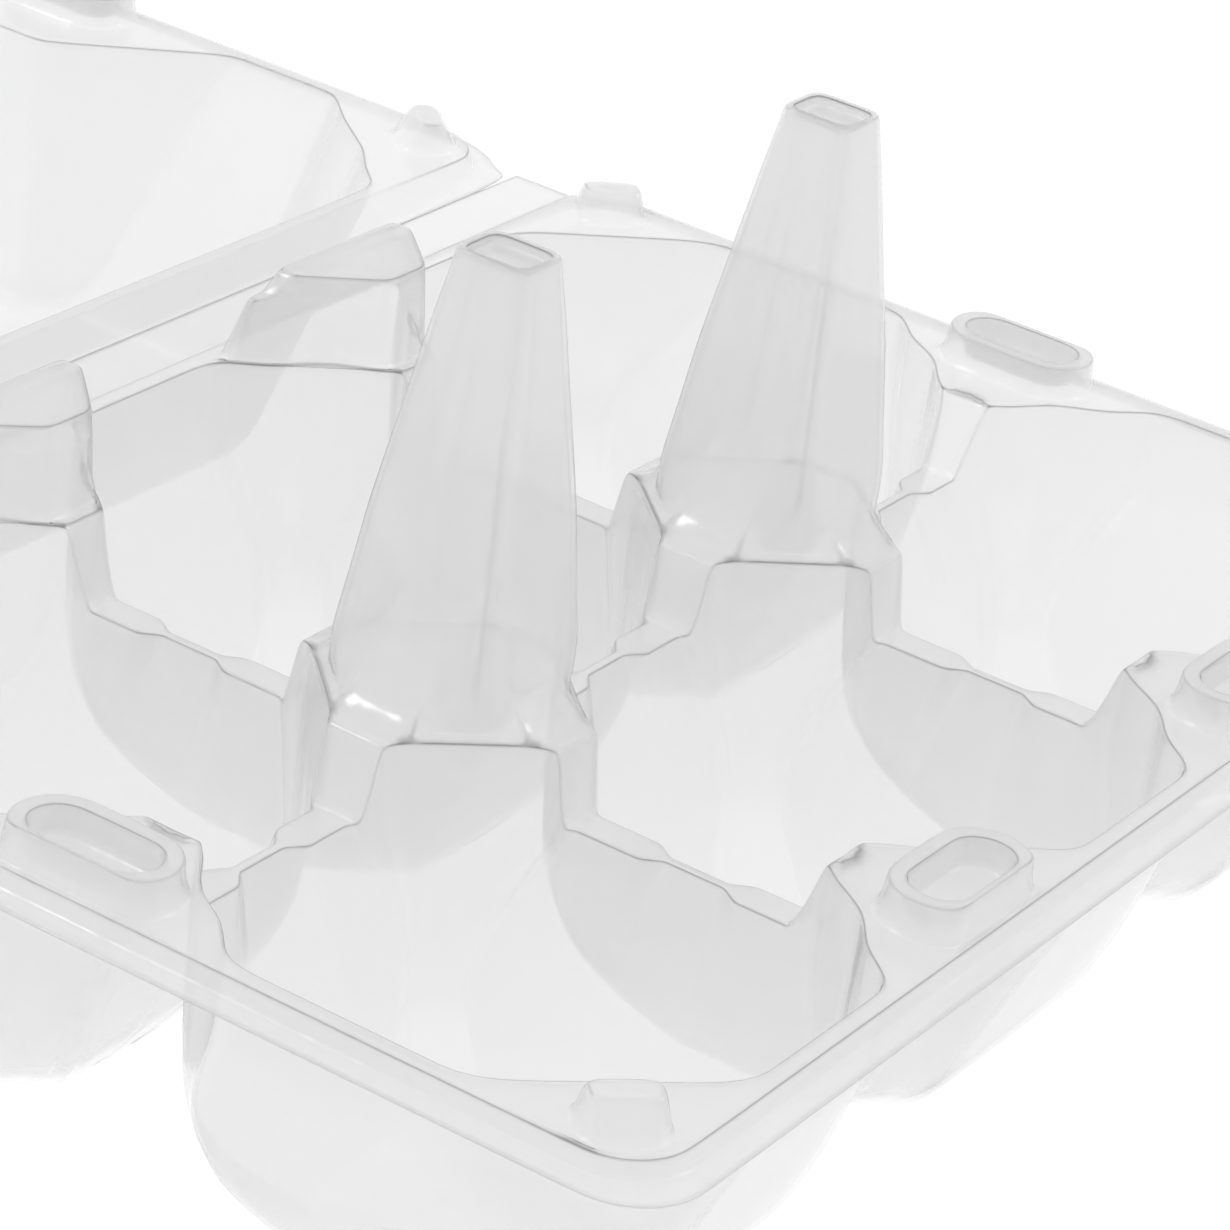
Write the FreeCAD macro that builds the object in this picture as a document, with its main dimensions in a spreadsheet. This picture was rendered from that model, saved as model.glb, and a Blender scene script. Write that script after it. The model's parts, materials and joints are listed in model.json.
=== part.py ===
"""Clear thermoformed egg carton for six eggs, opened flat: tray, folding hinge strip and lid.

The carton is one formed sheet. Each working region of the sheet is a sub-part of its own: the rims,
the egg cells, the dividers, the roof posts, the towers and pegs, the hinge strip and the lid.

Frame: +X along the three cells, +Y from the tray's front edge over the hinge to the lid, +Z up.
The origin is on the table, at the middle of the opened carton's footprint. Millimetres.
"""
import FreeCAD, Part
import os
import re

doc = FreeCAD.newDocument("EggCarton")

# ---------------------------------------------------------------- driving dimensions
DIMENSIONS = [
    ("wall", 0.4, "thickness of the formed sheet"),
    ("rim_z", 32.0, "top of the tray's flange above the table"),
    ("tray_y", -58.45, "middle of the tray"),
    ("rim_x", 75.0, "half the length of both flanges"),
    ("rim_y", 52.7, "half the depth of the tray's flange"),
    ("rim_round", 6.0, "corner radius of both flanges"),
    ("lip", 2.6, "width of the lip outside the flange"),
    ("lip_round", 6.8, "corner radius of the lip's edge"),
    ("lip_drop", 1.5, "step from flange down to lip"),
    ("pitch_x", 49.0, "cell spacing along the carton"),
    ("pitch_y", 51.2, "cell spacing across the carton"),
    ("mouth_x", 24.2, "half the cell mouth, along"),
    ("mouth_y", 25.4, "half the cell mouth, across"),
    ("flare_x", 27.1, "half the cell's side taper at flange level, along"),
    ("flare_y", 27.7, "half the cell's side taper at flange level, across"),
    ("mouth_diag", 35.1, "reach of the cell's corner walls, |x| + |y|"),
    ("knee_x", 16.5, "half the cell at its knee, along"),
    ("knee_y", 18.6, "half the cell at its knee, across"),
    ("knee_diag", 31.0, "reach of the corner walls at the knee"),
    ("knee_drop", 24.0, "flange down to the knee"),
    ("knee_ledge", 0.4, "how far the cell's bottom starts inside its knee"),
    ("foot_x", 11.0, "half the flat foot under a cell, along"),
    ("foot_y", 12.6, "half the flat foot under a cell, across"),
    ("foot_diag", 18.0, "reach of the foot's cut corners"),
    ("divider_drop", 7.2, "flange down to the dividers' top"),
    ("divider_half", 0.6, "half the width of a divider's top"),
    ("gap_half", 2.7, "half the gap between two mouths at flange level"),
    ("apex_x", 61.6, "middle of the tray to the tip of an end island"),
    ("apex_y", 38.8, "middle of the tray to the tip of a long-side island"),
    ("ramp_run", 3.7, "ground covered by the ramp at a divider's end"),
    ("ramp_half", 3.3, "half the width of the ramp beside a plinth, at its top"),
    ("post_high", 38.0, "flange up to a roof post's top"),
    ("post_foot", 8.0, "half a roof post at flange level"),
    ("post_tip", 3.4, "half a roof post at its top"),
    ("plinth", 10.5, "half the plinth of a roof post"),
    ("plinth_diag", 14.6, "reach of the plinth's cut corners"),
    ("plinth_room", 3.0, "open way around a plinth's cut corners"),
    ("stop_high", 8.4, "flange up to a rear stop's top"),
    ("stop_foot", 13.2, "half the length of a rear stop's foot"),
    ("stop_tip", 9.1, "half the length of a rear stop's top"),
    ("stop_y", 45.2, "middle of the tray to the middle of a rear stop"),
    ("stop_foot_deep", 6.4, "half the depth of a rear stop's foot"),
    ("stop_tip_deep", 4.3, "half the depth of a rear stop's top"),
    ("stop_lean", 0.4, "a rear stop's top, nearer the tray's middle than its foot"),
    ("stop_cut_y", 60.0, "middle of the tray to the point a rear stop's corners are cut about"),
    ("stop_cut_foot", 23.8, "reach of a rear stop's cut corners at its foot"),
    ("stop_cut_tip", 22.4, "reach of a rear stop's cut corners at its top"),
    ("tower_high", 3.1, "flange up to a tower's top"),
    ("tower_run", 2.9, "half the distance between a tower's round ends"),
    ("tower_foot", 4.3, "radius of a tower's round end at its foot"),
    ("tower_tip", 3.9, "radius of a tower's round end at its top"),
    ("socket_tip", 2.6, "radius of the socket's round end at its mouth"),
    ("socket_foot", 2.3, "radius of the socket's round end at its floor"),
    ("tower_x", 70.7, "middle of an end tower"),
    ("tower_y", 48.3, "middle of a front tower"),
    ("peg_high", 3.0, "height of a corner peg"),
    ("peg_foot_long", 3.3, "half a corner peg's foot, across the corner"),
    ("peg_foot_deep", 3.0, "half a corner peg's foot, towards the corner"),
    ("peg_tip_long", 2.3, "half a corner peg's top, across the corner"),
    ("peg_tip_deep", 1.0, "half a corner peg's top, towards the corner"),
    ("peg_x", 70.3, "middle of a corner peg, along"),
    ("peg_y", 47.4, "middle of a corner peg, across"),
    ("crease_y", 53.2, "tray middle to the crease beside the tray"),
    ("crease_drop", 0.5, "flange down to that crease"),
    ("step_run", 2.2, "ground covered by the step down to the hinge strip"),
    ("step_thick", 0.4, "thickness of the step, measured along the ground"),
    ("seam", 0.05, "how far the hinge strip stays short of the lid"),
    ("strip_drop", 1.9, "flange down to the hinge strip"),
    ("strip_y", 62.3, "tray middle to the crease beside the lid"),
    ("strip_x", 74.0, "half the length of the hinge strip"),
    ("lid_rise", 0.2, "lid flange above tray flange, carton open"),
    ("lid_back", 65.0, "tray middle to the lid flange's rear edge"),
    ("lid_y", 52.3, "half the depth of the lid's flange"),
    ("bowl_top_x", 73.2, "half the lid's bowl at its mouth, along"),
    ("bowl_top_y", 50.6, "half the lid's bowl at its mouth, across"),
    ("bowl_low_x", 64.0, "half the lid's bowl at its roof, along"),
    ("bowl_low_y", 42.0, "half the lid's bowl at its roof, across"),
    ("bowl_diag_top", 107.2, "reach of the bowl's cut corners at its mouth"),
    ("bowl_diag_low", 94.6, "reach of the bowl's cut corners at its roof"),
    ("pier_reach", 13.6, "reach of the piers that carry the lid's towers"),
]
ALIASES = {alias for alias, value, note in DIMENSIONS}

sheet = doc.addObject("Spreadsheet::Sheet", "Dimensions")
for row, (alias, value, note) in enumerate(DIMENSIONS, start=1):
    sheet.set(f"A{row}", note)
    sheet.set(f"B{row}", str(value))
    sheet.setAlias(f"B{row}", alias)
doc.recompute()

LID_MIDDLE = "tray_y + lid_back + lid_y"
LID_Z = "rim_z + lid_rise"


# ---------------------------------------------------------------- building blocks
def bind(item, **formulas):
    """Ties each property to a formula of the sheet's aliases."""
    for prop, formula in formulas.items():
        path = prop.replace("_", ".")
        text = re.sub(r"[a-z][a-z_]+", lambda m: prefixed(m.group(0)), str(formula))
        item.setExpression(path, text)


def prefixed(word):
    return f"Dimensions.{word}" if word in ALIASES else word


def place(item, x, y, z, turn=0.0, tilt=0.0):
    """Puts an item at (x, y, z), tilted about its own X axis and then turned about Z."""
    spin = FreeCAD.Rotation(FreeCAD.Vector(0, 0, 1), turn)
    lean = FreeCAD.Rotation(FreeCAD.Vector(1, 0, 0), tilt)
    item.Placement = FreeCAD.Placement(FreeCAD.Vector(), spin.multiply(lean))
    bind(item, Placement_Base_x=x, Placement_Base_y=y, Placement_Base_z=z)


def grown(reach, grow):
    """The reach |x| + |y| of a 45-degree wall that is moved outwards by grow."""
    return f"{reach} + sqrt(2) * ({grow})"


def block(name, x, y, z, half_x, half_y, height):
    """An upright box centred on (x, y), standing on z."""
    item = doc.addObject("Part::Box", name)
    bind(item, Length=f"2 * ({half_x})", Width=f"2 * ({half_y})", Height=height)
    place(item, f"{x} - ({half_x})", f"{y} - ({half_y})", z)
    return item


def disc(name, x, y, z, radius, height):
    item = doc.addObject("Part::Cylinder", name)
    bind(item, Radius=radius, Height=height)
    place(item, x, y, z)
    return item


def frustum(name, x, y, z, height, low, high, low_shift="0", high_shift="0", turn=0.0):
    """A tapered block: low and high are its half sizes (x, y) at the foot and at the top.
    The shifts move the foot's or the top's middle along Y."""
    item = doc.addObject("Part::Wedge", name)
    bind(item, Ymin=0, Ymax=height)
    bind(item, Xmin=f"-({low[0]})", Xmax=low[0], X2min=f"-({high[0]})", X2max=high[0])
    bind(item, Zmin=f"-({low[1]}) - ({low_shift})", Zmax=f"{low[1]} - ({low_shift})")
    bind(item, Z2min=f"-({high[1]}) - ({high_shift})", Z2max=f"{high[1]} - ({high_shift})")
    place(item, x, y, z, turn, 90.0)
    return item


def diamond(name, x, y, z, height, reach_low, reach_high):
    """A tapered block on its corner: |x| + |y| stays within the reach."""
    side_low, side_high = f"({reach_low}) / sqrt(2)", f"({reach_high}) / sqrt(2)"
    return frustum(name, x, y, z, height, (side_low, side_low), (side_high, side_high), turn=45.0)


def cone(name, x, y, z, low, high, height):
    item = doc.addObject("Part::Cone", name)
    bind(item, Radius1=low, Radius2=high, Height=height)
    place(item, x, y, z)
    return item


def fuse(name, items):
    made = doc.addObject("Part::MultiFuse", name)
    made.Shapes = items
    made.Refine = True
    return made


def common(name, items):
    made = doc.addObject("Part::MultiCommon", name)
    made.Shapes = items
    made.Refine = True
    return made


def cut(name, base, tool):
    made = doc.addObject("Part::Cut", name)
    made.Base = base
    made.Tool = tool
    made.Refine = True
    return made


def rounded_plate(name, x, y, z, half_x, half_y, radius, height):
    """An upright plate with four round corners."""
    arm_x, arm_y = f"({half_x}) - ({radius})", f"({half_y}) - ({radius})"
    pieces = [
        block(f"{name}Long", x, y, z, half_x, arm_y, height),
        block(f"{name}Wide", x, y, z, arm_x, half_y, height),
    ]
    for across in (-1, 1):
        for along in (-1, 1):
            corner_x, corner_y = f"{x} + {along} * ({arm_x})", f"{y} + {across} * ({arm_y})"
            pieces.append(disc(f"{name}Corner", corner_x, corner_y, z, radius, height))
    return fuse(name, pieces)


def stadium(name, x, y, z, run, low, high, height, along_x):
    """A tapered block with round ends, lying along X or along Y."""
    pieces = []
    for side in (-1, 1):
        end_x = f"{x} + {side} * {run}" if along_x else x
        end_y = y if along_x else f"{y} + {side} * {run}"
        pieces.append(cone(f"{name}End", end_x, end_y, z, low, high, height))
    low_half, high_half = ((run, low), (run, high)) if along_x else ((low, run), (high, run))
    pieces.append(frustum(f"{name}Middle", x, y, z, height, low_half, high_half))
    return fuse(name, pieces)


nodes = {}


def node(label, item):
    """Names a finished sub-part."""
    item.Label = label
    nodes[label] = item


# ---------------------------------------------------------------- tray: where things are
COLUMNS = {"left": -1, "middle": 0, "right": 1}
ROWS = {"front": -1, "rear": 1}
SIDES = {"left": -1, "right": 1}


def column_x(column):
    return f"{column} * pitch_x"


def row_y(row):
    return f"tray_y + {row} * pitch_y / 2"


def side_x(side):
    """The line between two columns of cells, where the roof posts stand."""
    return f"{side} * pitch_x / 2"


# ---------------------------------------------------------------- tray: egg cells
DIVIDER_Z = "rim_z - divider_drop - wall"


def cell_space(name, x, y, grow, top):
    """The space in a cell, grown by the sheet's thickness for its outside. It reaches up to top."""
    knee = f"rim_z - knee_drop - {grow}"
    height = f"{top} - ({knee})"
    rise = f"({height}) / (knee_drop + {grow})"
    low = (f"knee_x + {grow}", f"knee_y + {grow}")
    high = (f"{low[0]} + (flare_x - knee_x) * {rise}", f"{low[1]} + (flare_y - knee_y) * {rise}")
    taper = frustum(f"{name}Taper", x, y, knee, height, low, high)
    mouth = block(f"{name}Mouth", x, y, knee, f"mouth_x + {grow}", f"mouth_y + {grow}", height)
    corners = diamond(
        f"{name}Corners", x, y, knee, height,
        grown("knee_diag", grow), grown(f"knee_diag + (mouth_diag - knee_diag) * {rise}", grow),
    )
    upper = common(f"{name}Upper", [taper, mouth, corners])
    foot_z = f"wall - {grow}"
    foot = (f"foot_x + {grow}", f"foot_y + {grow}")
    below_knee = (f"{low[0]} - knee_ledge", f"{low[1]} - knee_ledge")
    bottom = frustum(f"{name}Bottom", x, y, foot_z, f"{knee} - ({foot_z})", foot, below_knee)
    cut_corners = diamond(
        f"{name}BottomCorners", x, y, foot_z, f"{knee} - ({foot_z})",
        grown("foot_diag", grow), grown("knee_diag - 2 * knee_ledge", grow),
    )
    lower = common(f"{name}Lower", [bottom, cut_corners])
    return fuse(name, [upper, lower])


def divider_channels(name, z, height):
    """The two ways between the cells, along X and along Y, that the dividers lie in."""
    channels = [block(f"{name}Along", "0", "tray_y", z, "apex_x", "gap_half", height)]
    for side in SIDES.values():
        channels.append(block(f"{name}Across", side_x(side), "tray_y", z, "gap_half", "apex_y", height))
    return fuse(name, channels)


for column_name, column in COLUMNS.items():
    for row_name, row in ROWS.items():
        label = f"egg_cell_{row_name}_{column_name}"
        x, y = column_x(column), row_y(row)
        outside = cell_space(f"{label}_outside", x, y, "wall", "rim_z - wall")
        inside = cell_space(f"{label}_inside", x, y, "0", "rim_z")
        shell = cut(f"{label}_shell", outside, inside)
        channels = divider_channels(f"{label}_channels", DIVIDER_Z, "divider_drop + wall")
        node(label, cut(label, shell, channels))


# ---------------------------------------------------------------- tray: flange and lip
def mouths(name, bottom, height):
    """What is open in the tray's flange: six mouths and the ways between them."""
    holes = []
    for column in COLUMNS.values():
        for row in ROWS.values():
            x, y = column_x(column), row_y(row)
            square = block(f"{name}Square", x, y, bottom, "mouth_x", "mouth_y", height)
            corners = diamond(f"{name}Corners", x, y, bottom, height, "mouth_diag", "mouth_diag")
            holes.append(common(f"{name}Mouth", [square, corners]))
    for side in SIDES.values():
        reach = "plinth_diag + plinth_room"
        holes.append(diamond(f"{name}Around", side_x(side), "tray_y", bottom, height, reach, reach))
    holes.append(divider_channels(f"{name}Channels", bottom, height))
    return fuse(name, holes)


def lip_ring(name, middle_y, rim_depth, top_z, keep_from, keep_to):
    """The step down outside a flange and the lip beyond it, kept from one Y to another."""
    low = f"{top_z} - lip_drop - wall"
    edge = ("rim_x + lip", f"{rim_depth} + lip", "lip_round")
    outer = rounded_plate(f"{name}Outer", "0", middle_y, low, *edge, "wall")
    step_size = ("rim_x + wall", f"{rim_depth} + wall", "rim_round + wall")
    step = rounded_plate(f"{name}Step", "0", middle_y, low, *step_size, "lip_drop + wall")
    hole_size = ("rim_x", rim_depth, "rim_round")
    hole = rounded_plate(f"{name}Hole", "0", middle_y, low, *hole_size, "lip_drop + wall")
    ring = cut(f"{name}Ring", fuse(f"{name}Solid", [outer, step]), hole)
    kept_middle, kept_half = f"({keep_from} + {keep_to}) / 2", f"(({keep_to}) - ({keep_from})) / 2"
    window_size = ("rim_x + 2 * lip", kept_half, "lip_drop + 2 * wall")
    window = block(f"{name}Window", "0", kept_middle, low, *window_size)
    return common(name, [ring, window])


flange = rounded_plate("TrayPlate", "0", "tray_y", "rim_z - wall", "rim_x", "rim_y", "rim_round", "wall")
node("tray_flange", cut("tray_flange", flange, mouths("TrayMouths", "rim_z - 2 * wall", "3 * wall")))
lip_from, lip_to = "tray_y - rim_y - 2 * lip", "tray_y + rim_y - rim_round"
node("tray_lip", lip_ring("tray_lip", "tray_y", "rim_y", "rim_z", lip_from, lip_to))


# ---------------------------------------------------------------- tray: dividers
def ramp_across(name, x, foot_y, top_y, top_half):
    """A sloped plate from a divider's end up to flange level, along Y. It widens as it rises."""
    middle = f"({foot_y} + {top_y}) / 2"
    return frustum(
        name, x, middle, DIVIDER_Z, "divider_drop", ("divider_half", "wall / 2"), (top_half, "wall / 2"),
        low_shift=f"{foot_y} - ({middle})", high_shift=f"{top_y} - ({middle})",
    )


def divider_across(name, side, row):
    """A divider between two columns, from a long-side island to a roof post's plinth."""
    x = side_x(side)
    outer_top, inner_top = f"tray_y + {row} * apex_y", f"tray_y + {row} * plinth"
    outer, inner = f"tray_y + {row} * (apex_y - ramp_run)", f"tray_y + {row} * (plinth + ramp_run)"
    half = f"(apex_y - plinth - 2 * ramp_run + wall) / 2"
    strip = block(f"{name}_strip", x, f"({outer} + {inner}) / 2", DIVIDER_Z, "divider_half", half, "wall")
    ramps = [
        ramp_across(f"{name}_outer_ramp", x, outer, f"{outer_top} - {row} * wall / 2", "gap_half"),
        ramp_across(f"{name}_inner_ramp", x, inner, f"{inner_top} + {row} * wall / 2", "ramp_half"),
    ]
    return fuse(name, [strip] + ramps)


def ramp_along(name, foot_x, top_x, top_half):
    """The same ramp, along X."""
    middle = f"({foot_x} + {top_x}) / 2"
    ramp = doc.addObject("Part::Wedge", name)
    bind(ramp, Ymin=0, Ymax="divider_drop")
    bind(ramp, Xmin=f"{foot_x} - ({middle}) - wall / 2", Xmax=f"{foot_x} - ({middle}) + wall / 2")
    bind(ramp, X2min=f"{top_x} - ({middle}) - wall / 2", X2max=f"{top_x} - ({middle}) + wall / 2")
    bind(ramp, Zmin="-divider_half", Zmax="divider_half", Z2min=f"-({top_half})", Z2max=top_half)
    place(ramp, middle, "tray_y", DIVIDER_Z, 0.0, 90.0)
    return ramp


def divider_along(name, from_x, to_x, from_half, to_half):
    """A divider between the two rows: from_x and to_x are where its ramps meet flange level."""
    strip_from, strip_to = f"{from_x} + ramp_run", f"{to_x} - ramp_run"
    middle, half = f"({strip_from} + {strip_to}) / 2", f"(({strip_to}) - ({strip_from}) + wall) / 2"
    strip = block(f"{name}_strip", middle, "tray_y", DIVIDER_Z, half, "divider_half", "wall")
    ramps = [
        ramp_along(f"{name}_first_ramp", strip_from, f"{from_x} + wall / 2", from_half),
        ramp_along(f"{name}_last_ramp", strip_to, f"{to_x} - wall / 2", to_half),
    ]
    return fuse(name, [strip] + ramps)


for side_name, side in SIDES.items():
    for row_name, row in ROWS.items():
        label = f"divider_{row_name}_{side_name}"
        node(label, divider_across(label, side, row))
# Each divider along X: where its ramps meet flange level, and half their width there.
DIVIDERS_ALONG = {
    "divider_end_left": ("-apex_x", "-pitch_x / 2 - plinth", "gap_half", "ramp_half"),
    "divider_end_right": ("pitch_x / 2 + plinth", "apex_x", "ramp_half", "gap_half"),
    "divider_centre": ("-pitch_x / 2 + plinth", "pitch_x / 2 - plinth", "ramp_half", "ramp_half"),
}
for label, ends in DIVIDERS_ALONG.items():
    node(label, divider_along(label, *ends))


# ---------------------------------------------------------------- tray: roof posts and rear stops
def roof_post(name, x):
    """A hollow four-sided post on a plinth, closed at its top, that holds up the closed lid's roof."""
    plinth_square = block(f"{name}_square", x, "tray_y", "rim_z - wall", "plinth", "plinth", "wall")
    plinth_cut = diamond(f"{name}_cut", x, "tray_y", "rim_z - wall", "wall", "plinth_diag", "plinth_diag")
    plinth = common(f"{name}_plinth", [plinth_square, plinth_cut])
    foot, tip = ("post_foot", "post_foot"), ("post_tip", "post_tip")
    shaft = frustum(f"{name}_shaft", x, "tray_y", "rim_z", "post_high", foot, tip)
    reach = diamond(f"{name}_reach", x, "tray_y", "rim_z", "post_high", "plinth_diag", "plinth_diag")
    solid = fuse(f"{name}_solid", [plinth, common(f"{name}_body", [shaft, reach])])
    inner_foot, inner_tip = ("post_foot - wall", "post_foot - wall"), ("post_tip - wall", "post_tip - wall")
    hollow_shaft = frustum(
        f"{name}_hollow_shaft", x, "tray_y", "rim_z - wall", "post_high", inner_foot, inner_tip
    )
    reach = grown("plinth_diag", "-wall")
    hollow_reach = diamond(f"{name}_hollow_reach", x, "tray_y", "rim_z - wall", "post_high", reach, reach)
    return cut(name, solid, common(f"{name}_hollow", [hollow_shaft, hollow_reach]))


def stop_space(name, x, z, shrink):
    """A rear stop's form: a low block whose two inner corners are cut at 45 degrees."""
    foot = (f"stop_foot - {shrink}", f"stop_foot_deep - {shrink}")
    tip = (f"stop_tip - {shrink}", f"stop_tip_deep - {shrink}")
    body = frustum(f"{name}Body", x, "tray_y + stop_y", z, "stop_high", foot, tip, high_shift="-stop_lean")
    corners = diamond(
        f"{name}Corners", x, "tray_y + stop_cut_y", z, "stop_high",
        grown("stop_cut_foot", f"-{shrink}"), grown("stop_cut_tip", f"-{shrink}"),
    )
    return common(name, [body, corners])


for side_name, side in SIDES.items():
    label = f"roof_post_{side_name}"
    node(label, roof_post(label, side_x(side)))
    label = f"rear_stop_{side_name}"
    outside = stop_space(f"{label}_outside", side_x(side), "rim_z", "0")
    inside = stop_space(f"{label}_inside", side_x(side), "rim_z - wall", "wall")
    node(label, cut(label, outside, inside))


# ---------------------------------------------------------------- towers and pegs of tray and lid
def tower(name, x, y, z, along_x):
    """A ring with a long socket in its top. It carries or meets the other half's tower."""
    body_size = ("tower_run", "tower_foot", "tower_tip", "tower_high")
    body = stadium(f"{name}_body", x, y, z, *body_size, along_x)
    socket_size = ("tower_run", "socket_foot", "socket_tip", "tower_high - wall")
    socket = stadium(f"{name}_socket", x, y, f"{z} + wall", *socket_size, along_x)
    return cut(name, body, socket)


def peg(name, x, y, z, turn):
    """A small bump on a corner of the flange, longest across the corner."""
    foot, tip = ("peg_foot_long", "peg_foot_deep"), ("peg_tip_long", "peg_tip_deep")
    return frustum(name, x, y, z, "peg_high", foot, tip, turn=turn)


TRAY_TOWERS = {
    "tower_end_left": ("-tower_x", "tray_y", False),
    "tower_end_right": ("tower_x", "tray_y", False),
    "tower_front_left": (side_x(-1), "tray_y - tower_y", True),
    "tower_front_right": (side_x(1), "tray_y - tower_y", True),
}
for label, (x, y, along_x) in TRAY_TOWERS.items():
    node(label, tower(label, x, y, "rim_z", along_x))

# The closed lid's front edge lies over the tray's, so the lid's towers and pegs keep the tray's
# distances from that edge.
LID_SHIFT = "lid_y - rim_y"
LID_TOWERS = {
    "lid_tower_end_left": ("-tower_x", LID_MIDDLE, False),
    "lid_tower_end_right": ("tower_x", LID_MIDDLE, False),
    "lid_tower_front_left": (side_x(-1), f"{LID_MIDDLE} + {LID_SHIFT} + tower_y", True),
    "lid_tower_front_right": (side_x(1), f"{LID_MIDDLE} + {LID_SHIFT} + tower_y", True),
}
for label, (x, y, along_x) in LID_TOWERS.items():
    node(label, tower(label, x, y, LID_Z, along_x))

for side_name, side in SIDES.items():
    for row_name, row in ROWS.items():
        label = f"peg_{row_name}_{side_name}"
        node(label, peg(label, f"{side} * peg_x", f"tray_y + {row} * peg_y", "rim_z", -45.0 * side * row))
        label = f"lid_peg_{row_name}_{side_name}"
        lid_peg_y = f"{LID_MIDDLE} + {-row} * (peg_y + {LID_SHIFT})"
        node(label, peg(label, f"{side} * peg_x", lid_peg_y, LID_Z, 45.0 * side * row))


# ---------------------------------------------------------------- hinge strip
STRIP_Z = "rim_z - strip_drop - wall"
strip_half = "(strip_y - crease_y - step_run - seam) / 2"
strip_middle = f"tray_y + crease_y + step_run + {strip_half}"
land = block("StripLand", "0", strip_middle, STRIP_Z, "strip_x", strip_half, "wall")
step_height = "strip_drop - crease_drop + wall"
step_size = ("strip_x", "step_thick / 2")
step_plate = frustum(
    "StripStep", "0", "tray_y + crease_y + step_thick / 2", STRIP_Z, step_height, step_size, step_size,
    low_shift="step_run - step_thick / 2",
)
node("hinge_strip", fuse("hinge_strip", [land, step_plate]))


# ---------------------------------------------------------------- lid
def bowl_space(name, grow, bottom, height):
    """The space in the lid's bowl, grown by the sheet's thickness for its outside."""
    body = frustum(
        f"{name}Body", "0", LID_MIDDLE, bottom, height,
        (f"bowl_low_x + {grow}", f"bowl_low_y + {grow}"), (f"bowl_top_x + {grow}", f"bowl_top_y + {grow}"),
    )
    reach_low, reach_top = grown("bowl_diag_low", grow), grown("bowl_diag_top", grow)
    corners = diamond(f"{name}Corners", "0", LID_MIDDLE, bottom, height, reach_low, reach_top)
    reach = grown("pier_reach", f"-{grow}")
    piers = []
    for side in SIDES.values():
        for x, y in ((f"{side} * rim_x", LID_MIDDLE), (side_x(side), f"{LID_MIDDLE} + lid_y")):
            piers.append(diamond(f"{name}Pier", x, y, bottom, height, reach, reach))
    return cut(name, common(f"{name}Form", [body, corners]), fuse(f"{name}Piers", piers))


bowl_outside = bowl_space("BowlOutside", "wall", "0", f"{LID_Z} - wall")
bowl_inside = bowl_space("BowlInside", "0", "wall", LID_Z)
node("lid_wall", cut("lid_wall", bowl_outside, fuse("BowlHollow", [
    bowl_inside, block("BowlUnderside", "0", LID_MIDDLE, "0", "rim_x", "rim_y", "wall"),
])))
roof_slice = block("RoofSlice", "0", LID_MIDDLE, "0", "rim_x", "rim_y", "wall")
node("lid_roof", common("lid_roof", [bowl_space("RoofForm", "wall", "0", f"{LID_Z} - wall"), roof_slice]))

lid_size = ("rim_x", "lid_y", "rim_round", "wall")
lid_plate = rounded_plate("LidPlate", "0", LID_MIDDLE, f"{LID_Z} - wall", *lid_size)
lid_mouth = bowl_space("LidMouth", "0", "wall", f"{LID_Z}")
node("lid_flange", cut("lid_flange", lid_plate, lid_mouth))
lid_lip_from, lid_lip_to = f"{LID_MIDDLE} - lid_y + rim_round", f"{LID_MIDDLE} + lid_y + 2 * lip"
node("lid_lip", lip_ring("lid_lip", LID_MIDDLE, "lid_y", LID_Z, lid_lip_from, lid_lip_to))

riser_foot, riser_top = ("strip_x", "wall / 2"), ("rim_x - rim_round", "wall / 2")
node("lid_riser", frustum(
    "lid_riser", "0", "tray_y + strip_y", STRIP_Z, "strip_drop + lid_rise + wall", riser_foot, riser_top,
    low_shift="wall / 2 + seam", high_shift="lid_back - strip_y - wall / 2",
))


# ---------------------------------------------------------------- check and write
doc.recompute()
for item in doc.Objects:
    bad = {"Invalid", "Error"} & set(item.State)
    if bad:
        raise RuntimeError(f"{item.Label}: {sorted(bad)}")
os.makedirs("parts", exist_ok=True)
for label, item in nodes.items():
    shape = item.Shape
    if shape.isNull() or not shape.isValid() or shape.Volume <= 0:
        raise RuntimeError(f"{label} is not a valid solid")
    print(f"{label:26s} solids {len(shape.Solids)}  volume {shape.Volume:9.1f} mm3")
    shape.exportStep(f"parts/{label}.step")
print(f"{len(nodes)} sub-parts")
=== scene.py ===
"""Looks of a clear thermoformed egg carton for six eggs, lying open: tray, hinge strip and lid.

Each of the three is one continuous formed sheet. It is built as a net of rings and patches in
millimetres, about the middle of the tray's or the lid's flange, with z = 0 on the flange's top.
"""
import json
import math

import bmesh
import bpy
from mathutils import Matrix, Vector
from mathutils.geometry import delaunay_2d_cdt


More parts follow.
